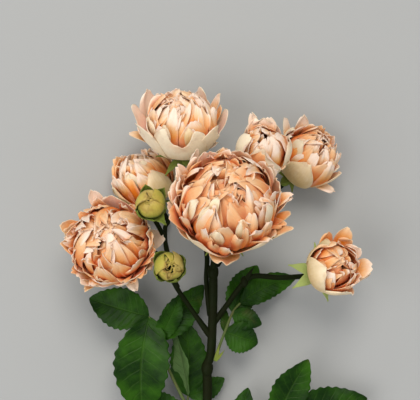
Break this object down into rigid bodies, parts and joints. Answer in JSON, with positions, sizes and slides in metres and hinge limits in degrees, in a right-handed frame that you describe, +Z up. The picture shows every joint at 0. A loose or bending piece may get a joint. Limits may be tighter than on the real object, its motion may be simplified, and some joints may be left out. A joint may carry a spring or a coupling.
{
  "type": "cut spray rose",
  "caption": "Cut spray rose lying on its back: peach many-petalled blooms and yellow-green buds on one branched leafy stem with a slanted cut.",
  "frame": {"origin": "middle of the bottom of the bounding box, on the surface the spray lies on", "axes": "+Y from the cut end of the stem to the blooms, +Z up, +X across the spray to the right as seen from above with the blooms at the far end"},
  "size_m": [0.1556, 0.2932, 0.088],
  "materials": {
    "stem": "smooth brown-green bark, half matt",
    "leaf": "dark green, veined, softly glossy above and paler and matt below",
    "calyx": "light yellow-green, matt",
    "petal": "peach to deep orange, velvety matt, veined",
    "guard_petal": "cream-beige with dry brown-pink lips, matt",
    "bud_petal": "yellow with a green flush, matt"
  },
  "bodies": {
    "root": {"centre_bloom_calyx": "calyx", "centre_bloom_heart": "petal", "centre_guard_petal_1": "guard_petal", "centre_guard_petal_2": "guard_petal", "centre_guard_petal_3": "guard_petal", "centre_guard_petal_4": "guard_petal", "centre_guard_petal_5": "guard_petal", "centre_guard_petal_6": "guard_petal", "centre_guard_petal_7": "guard_petal", "centre_guard_petal_8": "guard_petal", "far_right_bloom_calyx": "calyx", "far_right_bloom_heart": "petal", "far_right_guard_petal_1": "guard_petal", "far_right_guard_petal_2": "guard_petal", "far_right_guard_petal_3": "guard_petal", "far_right_guard_petal_4": "guard_petal", "leaf_left": "leaf", "leaf_low": "leaf", "leaf_middle": "leaf", "leaf_right": "leaf", "left_bloom_calyx": "calyx", "left_bloom_heart": "petal", "left_guard_petal_1": "guard_petal", "left_guard_petal_2": "guard_petal", "left_guard_petal_3": "guard_petal", "left_guard_petal_4": "guard_petal", "left_guard_petal_5": "guard_petal", "left_guard_petal_6": "guard_petal", "lower_bud_calyx": "calyx", "lower_bud_petals": "bud_petal", "lower_right_bloom_calyx": "calyx", "lower_right_bloom_heart": "petal", "lower_right_guard_petal_1": "guard_petal", "lower_right_guard_petal_2": "guard_petal", "lower_right_guard_petal_3": "guard_petal", "lower_right_guard_petal_4": "guard_petal", "lower_right_guard_petal_5": "guard_petal", "rear_bloom_calyx": "calyx", "rear_bloom_heart": "petal", "rear_guard_petal_1": "guard_petal", "rear_guard_petal_2": "guard_petal", "rear_guard_petal_3": "guard_petal", "rear_guard_petal_4": "guard_petal", "stem": "stem", "top_bloom_calyx": "calyx", "top_bloom_heart": "petal", "top_guard_petal_1": "guard_petal", "top_guard_petal_2": "guard_petal", "top_guard_petal_3": "guard_petal", "top_guard_petal_4": "guard_petal", "top_guard_petal_5": "guard_petal", "top_guard_petal_6": "guard_petal", "upper_bud_calyx": "calyx", "upper_bud_petals": "bud_petal", "upper_right_bloom_calyx": "calyx", "upper_right_bloom_heart": "petal", "upper_right_guard_petal_1": "guard_petal", "upper_right_guard_petal_2": "guard_petal", "upper_right_guard_petal_3": "guard_petal", "upper_right_guard_petal_4": "guard_petal"}
  },
  "joints": []
}
